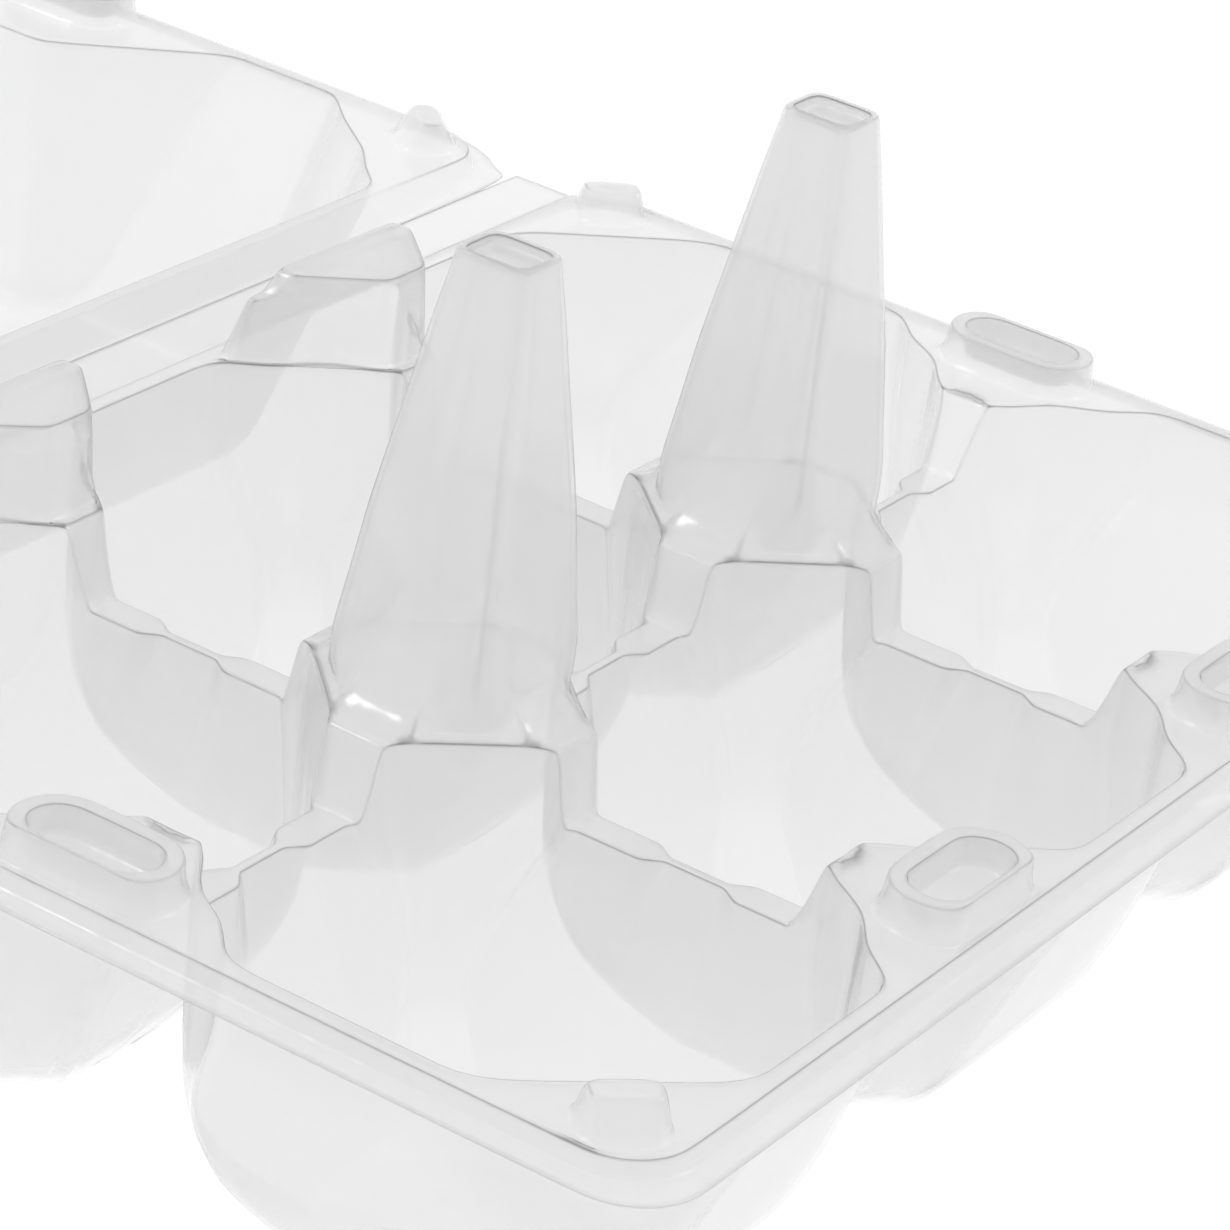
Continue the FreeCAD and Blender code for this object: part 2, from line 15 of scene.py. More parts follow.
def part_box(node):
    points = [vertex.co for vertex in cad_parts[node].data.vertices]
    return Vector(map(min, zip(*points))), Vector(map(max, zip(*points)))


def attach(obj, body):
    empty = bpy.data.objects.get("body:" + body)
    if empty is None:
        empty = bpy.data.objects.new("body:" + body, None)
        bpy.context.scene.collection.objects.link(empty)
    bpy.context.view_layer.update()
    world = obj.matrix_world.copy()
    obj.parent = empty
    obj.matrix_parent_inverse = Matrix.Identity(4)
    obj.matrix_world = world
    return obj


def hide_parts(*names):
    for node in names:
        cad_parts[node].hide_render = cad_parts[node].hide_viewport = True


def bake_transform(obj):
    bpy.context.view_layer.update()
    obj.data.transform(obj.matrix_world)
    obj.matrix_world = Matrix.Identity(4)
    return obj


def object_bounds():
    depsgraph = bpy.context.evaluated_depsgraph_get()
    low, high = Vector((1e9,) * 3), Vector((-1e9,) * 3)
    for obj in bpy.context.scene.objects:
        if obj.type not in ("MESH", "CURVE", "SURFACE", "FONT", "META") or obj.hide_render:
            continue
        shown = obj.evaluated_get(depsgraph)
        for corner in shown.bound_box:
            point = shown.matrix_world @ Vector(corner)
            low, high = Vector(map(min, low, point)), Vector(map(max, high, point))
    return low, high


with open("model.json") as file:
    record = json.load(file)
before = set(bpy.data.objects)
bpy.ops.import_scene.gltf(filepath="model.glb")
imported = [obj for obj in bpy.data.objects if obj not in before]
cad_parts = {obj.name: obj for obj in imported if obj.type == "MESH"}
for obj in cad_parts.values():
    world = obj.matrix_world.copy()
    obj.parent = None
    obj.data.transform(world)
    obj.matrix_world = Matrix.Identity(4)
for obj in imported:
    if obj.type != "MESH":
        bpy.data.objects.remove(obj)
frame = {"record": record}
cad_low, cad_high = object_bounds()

MM = 0.001
SHEET_THICK = 0.4
# Points closer than this are one point, and how far a rounded edge reaches into the flat beside it.
WELD = 0.004
HOLD = 0.5

# ---------------------------------------------------------------- places, from the frame
tray_low, tray_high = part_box("tray_flange")
lid_low, lid_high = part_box("lid_flange")
TRAY_MIDDLE = Vector((0, (tray_low.y + tray_high.y) / 2, tray_high.z)) / MM
LID_MIDDLE = Vector((0, (lid_low.y + lid_high.y) / 2, lid_high.z)) / MM
RIM_X = tray_high.x / MM
RIM_Y = (tray_high.y - tray_low.y) / 2 / MM
LID_RIM_Y = (lid_high.y - lid_low.y) / 2 / MM


def middle_of(node, about):
    low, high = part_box(node)
    return (low + high) / 2 / MM - about


def height_of(node):
    low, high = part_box(node)
    return (high.z - low.z) / MM


# ---------------------------------------------------------------- small mathematics
def mix(a, b, share):
    return a + (b - a) * share


def smooth(x):
    x = max(0.0, min(1.0, x))
    return x * x * (3 - 2 * x)


def along(table, x):
    """The value at x of a line through the points of a table, held flat beyond its ends."""
    if x <= table[0][0]:
        return table[0][1]
    for (x0, y0), (x1, y1) in zip(table, table[1:]):
        if x <= x1:
            return mix(y0, y1, (x - x0) / (x1 - x0))
    return table[-1][1]


def turned(point, angle):
    c, s = math.cos(angle), math.sin(angle)
    return (point[0] * c - point[1] * s, point[0] * s + point[1] * c)


def inside(point, loop):
    """True if a point lies in a closed loop, seen from above."""
    x, y = point[0], point[1]
    hit = False
    for a, b in zip(loop, loop[1:] + loop[:1]):
        if (a[1] > y) != (b[1] > y) and x < a[0] + (y - a[1]) * (b[0] - a[0]) / (b[1] - a[1]):
            hit = not hit
    return hit


# Angles in degrees where a bend starts to count and counts in full, and shares for special edges.
BEND_FROM, BEND_FULL = 12, 57
UPRIGHT_BEND, CUT_EDGE_BEND = 0.75, 0.8


def mark_bends(bm):
    """Stores how sharply the sheet bends down, or up, at each point, for painted shade and painted
    highlights. Upright bends count for less.
    """
    down, up = (bm.verts.layers.float.new(name) for name in ("bend_down", "bend_up"))
    for vert in bm.verts:
        sharpest = [0.0, 0.0]
        for edge in vert.link_edges:
            if len(edge.link_faces) == 2:
                a, b = edge.verts[0].co, edge.verts[1].co
                upright = abs(a.z - b.z) / (a - b).length
                angle = math.degrees(edge.calc_face_angle_signed())
                bent = smooth((abs(angle) - BEND_FROM) / (BEND_FULL - BEND_FROM))
                bent *= mix(1.0, UPRIGHT_BEND, upright)
                way = 0 if angle > 0 else 1
                sharpest[way] = max(sharpest[way], bent)
            else:
                sharpest[0] = max(sharpest[0], CUT_EDGE_BEND)
        vert[down], vert[up] = sharpest


# ---------------------------------------------------------------- the net of a sheet
def chained(edges):
    """Puts loose edges end to end and returns the closed loops."""
    def key(p):
        return (round(p[0], 2), round(p[1], 2))

    links = {}
    for a, b in edges:
        links.setdefault(key(a), []).append(b)
        links.setdefault(key(b), []).append(a)
    loops = []
    while links:
        start = next(iter(links))
        point, loop = links[start][0], []
        before, here = start, key(point)
        while True:
            loop.append(point)
            onward = [p for p in links[here] if key(p) != before]
            if not onward or here == start:
                break
            before, point = here, onward[0]
            here = key(point)
        for p in loop:
            links.pop(key(p), None)
        links.pop(start, None)
        loops.append(loop)
    return loops


class Net:
    """Points and faces of one sheet, in millimetres about a middle."""

    def __init__(self, middle):
        self.middle = middle
        self.points = []
        self.faces = []

    def row(self, points):
        start = len(self.points)
        self.points.extend(points)
        return list(range(start, len(self.points)))

    def loft(self, rows, closed=True):
        """Quads between rows that have equally many points."""
        ids = [self.row(points) for points in rows]
        for low, high in zip(ids, ids[1:]):
            count = len(low) if closed else len(low) - 1
            for i in range(count):
                j = (i + 1) % len(low)
                self.faces.append((low[i], low[j], high[j], high[i]))

    def cap(self, points):
        """Closes a small ring with a fan about its middle."""
        ids = self.row(points)
        centre = tuple(sum(p[k] for p in points) / len(points) for k in range(3))
        hub = self.row([centre])[0]
        for i, j in zip(ids, ids[1:] + ids[:1]):
            self.faces.append((i, j, hub))

    def land(self, outer, holes, height):
        """A flat patch inside outer and outside the holes."""
        coords, edges = [], []
        for loop in [outer] + holes:
            first = len(coords)
            coords.extend(Vector((p[0], p[1])) for p in loop)
            edges.extend((first + i, first + (i + 1) % len(loop)) for i in range(len(loop)))
        made = delaunay_2d_cdt(coords, edges, [], 1, 1e-4)
        flat = [(p.x, p.y, height) for p in made[0]]
        ids = self.row(flat)
        for face in made[2]:
            centre = [sum(flat[i][k] for i in face) / len(face) for k in range(2)]
            if inside(centre, outer) and not any(inside(centre, hole) for hole in holes):
                self.faces.append(tuple(ids[i] for i in face))

    def build(self, name, material):
        """The finished piece: welded, facing up, rounded once and given its thickness."""
        bm = bmesh.new()
        places = [bm.verts.new((Vector(p) + self.middle) * MM) for p in self.points]
        for face in self.faces:
            corners = [places[i] for i in face]
            if len(set(corners)) == len(corners):
                bm.faces.new(corners)
        bmesh.ops.remove_doubles(bm, verts=bm.verts, dist=WELD * MM)
        bmesh.ops.dissolve_degenerate(bm, edges=bm.edges, dist=WELD * MM / 2)
        bmesh.ops.recalc_face_normals(bm, faces=bm.faces)
        top = max(bm.faces, key=lambda f: f.calc_area())
        if top.normal.z < 0:
            bmesh.ops.reverse_faces(bm, faces=bm.faces)
        for face in bm.faces:
            face.smooth = True
        mark_bends(bm)
        mesh = bpy.data.meshes.new(name)
        bm.to_mesh(mesh)
        bm.free()
        piece = bpy.data.objects.new(name, mesh)
        bpy.context.scene.collection.objects.link(piece)
        mesh.materials.append(material)
        rounding = piece.modifiers.new("Rounding", "SUBSURF")
        rounding.levels = rounding.render_levels = 1
        thick = piece.modifiers.new("Thickness", "SOLIDIFY")
        thick.thickness = SHEET_THICK * MM
        thick.offset = -1
        thick.use_even_offset = True
        thick.thickness_clamp = 1.0
        return piece


# ---------------------------------------------------------------- tray: rims of the cells
# Half the spacing of the cells, half a cell's mouth, and the reach of its cut corners.
HALF_X, HALF_Y = 24.5, 25.6
MOUTH_X, MOUTH_Y = 24.2, 25.4
REACH = 35.1
# A divider's top: height, half its width in the narrow middle and in the wide parts, where they end.
DIVIDER_Z = -7.2
NECK, KNOB = 0.45, 1.75
NECK_END, KNOB_START = 2.9, 4.5
# Where the rise to a post starts, and where it ends, from the post's middle. Where the islands start.
POST_FOOT, PEDESTAL = 14.5, 10.6
ISLAND_X, ISLAND_Y = 8.7, 9.5
# Distance past the divider's foot, half its width there, and height.
POST_RISE = (
    (0, 2.2, DIVIDER_Z), (0.35, 2.6, -6.95), (1.0, 2.75, -3.6), (1.35, 2.8, -1.3), (1.65, 2.85, -0.65),
    (2.1, 2.95, -0.42), (3.2, 3.7, -0.1), (3.9, 4.4, 0.15),
)
ISLAND_RISE = (
    (0, 1.8, DIVIDER_Z), (0.4, 1.85, -6.9), (1.4, 2.0, -4.6), (2.3, 2.3, -1.9), (2.8, 2.5, -0.4),
    (3.1, 2.6, 0),
)
# The ledge that runs round a post's foot across the cells' corners: its height and its width.
LEDGE_Z, LEDGE_IN = -0.42, 0.68


def divider_rows(foot, rise):
    """(distance, half width, height) along a divider, from its middle to its raised end."""
    rows = [(t, NECK, DIVIDER_Z) for t in (0, 1.6, NECK_END - 0.3, NECK_END)]
    rows.extend((t, KNOB, DIVIDER_Z) for t in (KNOB_START, KNOB_START + 0.4, foot - 1.2, foot - 0.5))
    rows.extend((foot + run, half, height) for run, half, height in rise)
    return rows


def land_half(half):
    """Half the width between the rounded edges of a divider's top."""
    return half - min(0.35, 0.5 * half)


ROWS_X = {
    "post": divider_rows(HALF_Y - POST_FOOT, POST_RISE),
    "island": divider_rows(ISLAND_Y, ISLAND_RISE),
}
ROWS_Y = {
    "post": divider_rows(HALF_X - POST_FOOT, POST_RISE),
    "island": divider_rows(ISLAND_X, ISLAND_RISE),
}
FLANGE_SHARES = (0, 0.33, 0.64, 0.88)
# Share of the way across a corner, and how far the rim there stands outside a straight line.
CORNER_SHARES = ((0.09, 0), (0.28, 0), (0.5, 0), (0.72, 0), (0.91, 0))
ISLAND_SHARES = (
    (0.06, -0.05), (0.16, 0.05), (0.3, 0.6), (0.42, 0.75), (0.56, 0.2), (0.68, -0.3), (0.82, -0.15),
    (0.95, 0),
)
LEDGE_SHARES = tuple((share, 0) for share in (0.08, 0.2, 0.35, 0.5, 0.65, 0.8, 0.92))


def edge_top(end):
    return LEDGE_Z if end == "post" else 0


def side_x(end):
    """Rim of a quarter cell on its X side: (edge point, land point) from the middle outwards."""
    if end:
        rows = ROWS_X[end]
        return [((HALF_X - w, t, min(z, edge_top(end))), (HALF_X - land_half(w), t, z)) for t, w, z in rows]
    length = REACH - MOUTH_X
    return [((MOUTH_X, s * length, 0), (MOUTH_X + HOLD, s * length, 0)) for s in FLANGE_SHARES]


def side_y(end):
    if end:
        rows = ROWS_Y[end]
        return [((t, HALF_Y - w, min(z, edge_top(end))), (t, HALF_Y - land_half(w), z)) for t, w, z in rows]
    length = REACH - MOUTH_Y
    return [((s * length, MOUTH_Y, 0), (s * length, MOUTH_Y + HOLD, 0)) for s in FLANGE_SHARES]


def corner_rim(start, end, shares, ledge):
    """Rim across a quarter cell's corner, from one side's last point to the other's. A ledge rises
    from it towards a roof post."""
    points = []
    out = LEDGE_IN if ledge else HOLD * math.sqrt(0.5)
    low, high = (LEDGE_Z, 0.2) if ledge else (0, 0)
    for share, wave in shares:
        u, v = (mix(a, b, share) + wave * math.sqrt(0.5) for a, b in zip(start[:2], end[:2]))
        points.append(((u, v, low), (u + out, v + out, high)))
    return points


def rim_quarter(x_inner, y_inner):
    """Rim of the quarter with u, v >= 0, from the X side's middle to the Y side's."""
    x_end = ("post" if y_inner else "island") if x_inner else None
    y_end = ("post" if x_inner else "island") if y_inner else None
    first, last = side_x(x_end), side_y(y_end)
    start = first[-1][0] if x_inner else (MOUTH_X, REACH - MOUTH_X)
    end = last[-1][0] if y_inner else (REACH - MOUTH_Y, MOUTH_Y)
    shares = CORNER_SHARES
    if x_inner != y_inner:
        shares = ISLAND_SHARES if x_inner else [(1 - share, wave) for share, wave in ISLAND_SHARES[::-1]]
    if x_inner and y_inner:
        shares = LEDGE_SHARES
    return first + corner_rim(start, end, shares, x_inner and y_inner) + last[::-1]


QUARTERS = ((1, 1), (-1, 1), (-1, -1), (1, -1))


def cell_rim(column, row):
    """The whole rim of a cell, about the cell's middle: (edge point, land point) all round."""
    rim = []
    for qx, qy in QUARTERS:
        quarter = rim_quarter(abs(column + qx) <= 1, row * qy < 0)
        if qx * qy < 0:
            quarter = quarter[::-1]
        for edge, land in quarter[:-1]:
            rim.append(tuple((p[0] * qx, p[1] * qy, p[2]) for p in (edge, land)))
    return rim


# ---------------------------------------------------------------- tray: walls of the cells
# Height, then how far the cell's X side, Y side and corner walls reach from its middle.
WALL_X = ((-31.6, 10.6), (-31.2, 11.6), (-29, 13.3), (-26, 15.5), (-24, 16.5), (-7.2, 23.9), (0, 24.2))
WALL_Y = ((-31.6, 12.2), (-31.2, 13.2), (-29, 15.0), (-26, 17.4), (-24, 18.6), (-7.2, 25.0), (0, 25.4))
WALL_REACH = (
    (-31.6, 17.2), (-31.2, 18.4), (-29, 22.9), (-26, 28.4), (-24, 31.0), (-22, 32.6), (-20, 33.8),
    (-17.5, 34.7), (-15, 35.0), (0, 35.1),
)
# The rim's own outline fades out down to the knee. Rings follow the rim above UPPER_END, and lie level
# below it.
KNEE_Z = -23
UPPER_END = -9.5
UPPER_STEPS = (0.0, 0.12, 0.4, 0.7, 1.0)
LOWER_LEVELS = (-12.5, -15.5, -18, -20.3, -22.4, -23.7, -24.6, -26.5, -28.9, -30.7, -31.2, -31.6)


def wall_point(u, v, height):
    """Where the wall under rim point (u, v) is at a height: each cross-section is an octagon."""
    x, y, reach = (along(table, height) for table in (WALL_X, WALL_Y, WALL_REACH))
    au, av = abs(u), abs(v)
    if av <= REACH - MOUTH_X:
        p = (x, av / (REACH - MOUTH_X) * (reach - x))
    elif au <= REACH - MOUTH_Y:
        p = (au / (REACH - MOUTH_Y) * (reach - y), y)
    else:
        share = (av - REACH + MOUTH_X) / (MOUTH_Y - REACH + MOUTH_X)
        p = (mix(x, reach - y, share), mix(reach - x, y, share))
    return (math.copysign(p[0], u), math.copysign(p[1], v))


def build_cell(net, column, row):
    cx, cy = column * 2 * HALF_X, row * HALF_Y
    rim = cell_rim(column, row)
    rings = [[land for edge, land in rim], [edge for edge, land in rim]]
    levels = [[mix(h - HOLD, UPPER_END, step) for (u, v, h), land in rim] for step in UPPER_STEPS]
    levels.extend([level] * len(rim) for level in LOWER_LEVELS)
    for heights in levels:
        ring = []
        for ((u, v, height), land), z in zip(rim, heights):
            there, below = wall_point(u, v, height), wall_point(u, v, z)
            keep = max(0.0, (z - KNEE_Z) / (height - KNEE_Z)) ** 1.2
            ring.append((below[0] + (u - there[0]) * keep, below[1] + (v - there[1]) * keep, z))
        rings.append(ring)
    floor = rings[-1]
    rings.append([(x * 0.75, y * 0.75, z) for x, y, z in floor])
    placed = [[(x + cx, y + cy, z) for x, y, z in ring] for ring in rings]
    net.loft(placed)
    net.cap(placed[-1])


# ---------------------------------------------------------------- tray: dividers
ACROSS = (-1, -0.5, 0, 0.5, 1)


def build_divider(net, centre, direction, out_rows, in_rows):
    """A divider's top. centre is on its axis, level with the cells' middles, and direction is the way
    that in_rows go. Returns its end on the out_rows side, towards an island for all but the middle divider."""
    rows = [(-t, w, z) for t, w, z in out_rows[:0:-1]] + list(in_rows)
    dx, dy = direction
    strips = []
    for t, w, z in rows:
        half = land_half(w)
        strips.append([
            (centre[0] + dx * t - dy * half * s, centre[1] + dy * t + dx * half * s, z) for s in ACROSS
        ])
    net.loft(strips, closed=False)
    return strips[0]


def build_dividers(net):
    """All dividers. Returns the ends that meet the flange."""
    ends = []
    for side in (-1, 1):
        for row in (-1, 1):
            centre = (side * HALF_X, row * HALF_Y)
            ends.append(build_divider(net, centre, (0, -row), ROWS_X["island"], ROWS_X["post"]))
        centre = (side * 2 * HALF_X, 0)
        ends.append(build_divider(net, centre, (-side, 0), ROWS_Y["island"], ROWS_Y["post"]))
    build_divider(net, (0, 0), (1, 0), ROWS_Y["post"], ROWS_Y["post"])
    return ends


# ---------------------------------------------------------------- tray: roof posts
# Half the width of a post at a height, and the steps from its base to the height where it is whole.
POST_HALF = ((-1, 8.7), (4, 7.95), (8, 7.2), (16, 6.25), (22, 5.3), (30, 4.2), (36.8, 3.3), (40, 3.1))
POST_MERGE = 12.0
POST_STEPS = ((0.04, 0.75), (0.13, 0.25), (0.32, 0.04), (0.6, 0.0), (1.0, 0.0))
POST_LEVELS = (16, 22, 29, 34.5)
# The rounded top edge and the shallow dish inside it: height below the top, and inset.
POST_TOP = (
    (1.3, 0), (0.4, 0.06), (0.08, 0.25), (0, 0.55), (0.05, 0.8), (0.8, 1.0), (0.95, 1.2), (0.95, 1.9),
)


def post_point(angle, height, shrink=0.0):
    """A point of the post's rounded square cross-section. It is a little longer along Y at the top."""
    x = along(POST_HALF, height) - shrink
    y = x * mix(1.0, 1.15, smooth(height / 38)) + shrink * 0.15
    c, s = abs(math.cos(angle)), abs(math.sin(angle))
    square = mix(16, 6, smooth((height - 14) / 22))
    radius = ((c / x) ** square + (s / y) ** square) ** (-1 / square)
    chamfer = 13.9 + 0.22 * max(height, 0)
    radius = min(radius, chamfer / (c + s))
    return (radius * math.cos(angle), radius * math.sin(angle), height)


def post_base():
    """The ring where the post meets its pedestals and the cells' corner arches."""
    start, end = side_x("post")[-1][0], side_y("post")[-1][0]
    half = land_half(ROWS_X["post"][-1][1])
    quarter = [(PEDESTAL, half * s, POST_RISE[-1][2]) for s in ACROSS]
    for edge, land in corner_rim(end, start, LEDGE_SHARES, True):
        quarter.append((HALF_X - land[0], HALF_Y - land[1], land[2]))
    ring = []
    for turn in range(4):
        ring.extend((*turned(p, turn * math.pi / 2), p[2]) for p in quarter)
    return ring


def build_post(net, side, high):
    x0 = side * HALF_X
    base = post_base()
    angles = [math.atan2(p[1], p[0]) for p in base]
    rings = [base]
    for step, keep in POST_STEPS:
        ring = []
        for p, angle in zip(base, angles):
            z = mix(p[2], POST_MERGE, step)
            on, there = post_point(angle, z), post_point(angle, p[2])
            ring.append((on[0] + (p[0] - there[0]) * keep, on[1] + (p[1] - there[1]) * keep, z))
        rings.append(ring)
    for level in POST_LEVELS:
        rings.append([post_point(angle, level) for angle in angles])
    for drop, shrink in POST_TOP:
        ring = [post_point(angle, high, shrink) for angle in angles]
        rings.append([(x, y, high - drop) for x, y, z in ring])
    placed = [[(x + x0, y, z) for x, y, z in ring] for ring in rings]
    net.loft(placed)
    net.cap(placed[-1])


# ---------------------------------------------------------------- towers, pegs and stops
def stadium(run, radius, count=12):
    """A long ring with round ends, along X."""
    ring = []
    for end in (1, -1):
        for i in range(count):
            angle = (i / (count - 1) - 0.5) * math.pi
            ring.append((end * (run + radius * math.cos(angle)), end * radius * math.sin(angle)))
    return ring


# Each step of a tower: radius of its round ends, and height as a share of the tower's.
TOWER_STEPS = (
    (5.25, 0), (4.95, 0), (4.7, 0.1), (4.45, 0.4), (4.32, 0.88), (4.24, 0.97), (4.05, 1), (3.7, 1),
    (3.0, 1), (2.75, 0.98), (2.66, 0.88), (2.45, 0.3), (2.3, 0.15), (1.8, 0.13),
)
TOWER_RUN = 3.15
# Least room between the flange's edge and a tower's foot, and between one ring and the next there.
EDGE_ROOM, RING_ROOM = 0.65, 0.07


def held(value, limit):
    """The value, kept between -limit and limit."""
    return max(-limit, min(limit, value))


def build_tower(net, place, long_x, high, half_y):
    """A ring-shaped tower with a long socket, flattened where it reaches the edge of the flange.
    Returns its foot, as a hole for the land around it."""
    rings = []
    for step, (radius, share) in enumerate(TOWER_STEPS):
        ring = stadium(TOWER_RUN, radius)
        if not long_x:
            ring = [(-y, x) for x, y in ring]
        limit_x, limit_y = (half - EDGE_ROOM - RING_ROOM * step for half in (RIM_X, half_y))
        rings.append([
            (held(place.x + x, limit_x), held(place.y + y, limit_y), share * high) for x, y in ring
        ])
    net.loft(rings)
    net.cap(rings[-1])
    return rings[0]


# Each step of a peg: half its length across the corner, half its depth, height share, roundness.
PEG_STEPS = (
    (4.0, 3.7, 0, 2.6), (3.75, 3.4, 0, 2.8), (3.45, 3.0, 0.14, 3), (3.25, 2.55, 0.45, 3.5),
    (3.0, 1.75, 0.84, 4), (2.75, 1.3, 0.98, 4), (2.4, 0.95, 1, 4), (1.7, 0.55, 1, 4),
)
PEG_COUNT = 20


def build_peg(net, place, turn, high):
    rings = []
    for half_x, half_y, share, roundness in PEG_STEPS:
        ring = []
        for i in range(PEG_COUNT):
            angle = math.tau * (i + 0.5) / PEG_COUNT
            c, s = math.cos(angle), math.sin(angle)
            x = half_x * math.copysign(abs(c) ** (2 / roundness), c)
            y = half_y * math.copysign(abs(s) ** (2 / roundness), s)
            x, y = turned((x, y), turn)
            ring.append((place.x + x, place.y + y, share * high))
        rings.append(ring)
    net.loft(rings)
    net.cap(rings[-1])
    return rings[0]


# Each step of a rear stop: half its inner edge, Y of the inner edge, half its outer edge, Y of the
# outer edge (from the tray's middle), and height.
STOP_STEPS = (
    (3.1, 39.1, 13.5, 51.9, 0), (3.0, 39.35, 13.2, 51.65, 0), (2.95, 39.5, 12.9, 51.4, 0.8),
    (2.9, 40.05, 12.2, 50.0, 5.4), (2.9, 40.1, 11.9, 49.9, 5.9), (2.9, 40.15, 11.1, 49.7, 6.1),
    (2.9, 40.25, 10.4, 49.5, 6.4), (2.9, 40.45, 9.3, 49.1, 8.1), (2.8, 40.6, 9.0, 48.95, 8.4),
    (2.5, 41.1, 8.3, 48.4, 8.4), (2.0, 42.0, 6.5, 47.4, 8.4),
)
EDGE_SHARES = (0.07, 0.36, 0.64, 0.93)


def build_stop(net, side):
    rings = []
    for inner, y_in, outer, y_out, height in STOP_STEPS:
        y_side = y_in + outer - inner
        half = [(inner, y_in), (outer, y_side), (outer, y_out)]
        corners = half + [(-x, y) for x, y in half[::-1]]
        ring = []
        for a, b in zip(corners, corners[1:] + corners[:1]):
            for s in EDGE_SHARES:
                ring.append((mix(a[0], b[0], s) + side * HALF_X, mix(a[1], b[1], s), height))
        rings.append(ring)
    net.loft(rings)
    net.cap(rings[-1])
    return rings[0]


# ---------------------------------------------------------------- rims round tray and lid
SIDE_COUNT_X, SIDE_COUNT_Y, CORNER_COUNT = 15, 11, 8
# Where the hinge strip starts and ends, from the tray's middle, its height and half its length.
STRIP_FROM, STRIP_TO = 55.1, 61.7
STRIP_Z = -1.9
STRIP_HALF = 75.1
SEAM = 0.02


def rounded_rectangle(half_x, y_front, y_back, round_front, round_back):
    """(x, y) all round, always as many points, starting at the front left corner's end."""
    ring = []
    corners = (
        (half_x - round_front, y_front + round_front, round_front, -90),
        (half_x - round_back, y_back - round_back, round_back, 0),
        (round_back - half_x, y_back - round_back, round_back, 90),
        (round_front - half_x, y_front + round_front, round_front, 180),
    )
    for k, (x, y, radius, start) in enumerate(corners):
        arc = []
        for i in range(CORNER_COUNT + 1):
            angle = math.radians(start + 90 * i / CORNER_COUNT)
            arc.append((x + radius * math.cos(angle), y + radius * math.sin(angle)))
        ring.extend(arc)
        nx, ny, next_radius, next_start = corners[(k + 1) % 4]
        angle = math.radians(next_start)
        target = (nx + next_radius * math.cos(angle), ny + next_radius * math.sin(angle))
        count = SIDE_COUNT_Y if k % 2 == 0 else SIDE_COUNT_X
        for i in range(1, count):
            ring.append((mix(arc[-1][0], target[0], i / count), mix(arc[-1][1], target[1], i / count)))
    return ring


# Width of the lip.
LIP = 2.6
# Steps of the rim: share of the way out and height, where there is a lip and where there is the hinge.
LIP_STEPS = ((0, 0), (0.05, -0.35), (0.11, -1.15), (0.2, -1.47), (0.36, -1.5), (0.93, -1.5), (1.0, -1.66))
TRAY_STEPS = ((0, 0), (0.1, -0.14), (0.34, -0.55), (0.72, -1.5), (0.86, -1.8), (0.95, -1.9), (1.0, -1.9))
LID_STEPS = ((0, 0), (0.07, -0.14), (0.38, -1.0), (0.68, -2.0), (0.78, -2.42), (0.9, -2.4), (1.0, -2.1))


# Corner of the lip beside the hinge, from the lip's side to the hinge, about the flange's corner.
TRAY_NOTCH = (
    (2.6, -6.0), (2.5, -4.6), (2.3, -3.3), (2.0, -2.3), (1.6, -1.3), (1.1, -0.2), (0.6, 0.9), (0.3, 1.9),
    (0.1, 2.4),
)
LID_NOTCH = (
    (2.6, -6.0), (2.45, -4.7), (2.1, -3.4), (1.6, -2.2), (0.9, -0.9), (0.1, 0.1), (-0.9, 1.2), (-1.4, 2.5),
    (-1.9, 3.3),
)


def build_rim(net, half_y, hinge_at, hinge_steps, notch):
    """The step and the lip outside a flange. The hinge is at y = hinge_at. Returns the flange's outline."""
    sign = math.copysign(1, hinge_at)
    sizes = (
        (RIM_X - HOLD, half_y - HOLD, half_y - HOLD, 5.5, 5.5),
        (RIM_X, half_y, half_y, 6.0, 6.0),
        (RIM_X + LIP, half_y + LIP, abs(hinge_at), 6.6, 6.0),
    )
    rings = []
    for half_x, front, back, round_front, round_back in sizes:
        ring = rounded_rectangle(half_x, -front, back, round_front, round_back)
        rings.append([(x, y * sign) for x, y in ring])
    # Beside the hinge the lip ends in a notch.
    for i, (dx, dy) in enumerate(notch):
        x, y = RIM_X + dx, sign * (half_y + dy)
        rings[2][CORNER_COUNT + SIDE_COUNT_Y + i] = (x, y)
        rings[2][3 * CORNER_COUNT + SIDE_COUNT_Y + SIDE_COUNT_X - i] = (-x, y)
    flange, edge, outer = rings
    rows = [[(x, y, 0) for x, y in flange]]
    for (lip_out, lip_z), (hinge_out, hinge_z) in zip(LIP_STEPS, hinge_steps):
        row = []
        for (ex, ey), (ox, oy) in zip(edge, outer):
            towards = sign * (oy - ey) / math.hypot(ox - ex, oy - ey)
            hinge = smooth((towards - 0.45) / 0.5)
            out = mix(lip_out, hinge_out, hinge)
            row.append((mix(ex, ox, out), mix(ey, oy, out), mix(lip_z, hinge_z, hinge)))
        rows.append(row)
    net.loft(rows)
    return rows[0]


# ---------------------------------------------------------------- material
def node(tree, kind, x, y, **inputs):
    made = tree.nodes.new(kind)
    made.location = (x, y)
    for name, value in inputs.items():
        made.inputs[name.replace("_", " ")].default_value = value
    return made


# Share of haze in the clear sheet and of haze with painted shade in a sharp bend, and the power that keeps
# a bend's painted line narrow.
HAZE, BEND_HAZE_AND_SHADE = 0.32, 0.9
BEND_NARROW = 5.0
HAZE_COLOUR = (0.96, 0.96, 0.96, 1)
# Painted shade: the dark grey painted along sharp downward bends and cut edges.
PAINTED_BEND_SHADE = (0.25, 0.25, 0.25, 1)
# Painted highlight: the white painted along upward bends.
PAINTED_BEND_HIGHLIGHT = (1, 1, 1, 1)
CLEAR_COLOUR = (0.94, 0.94, 0.94, 1)
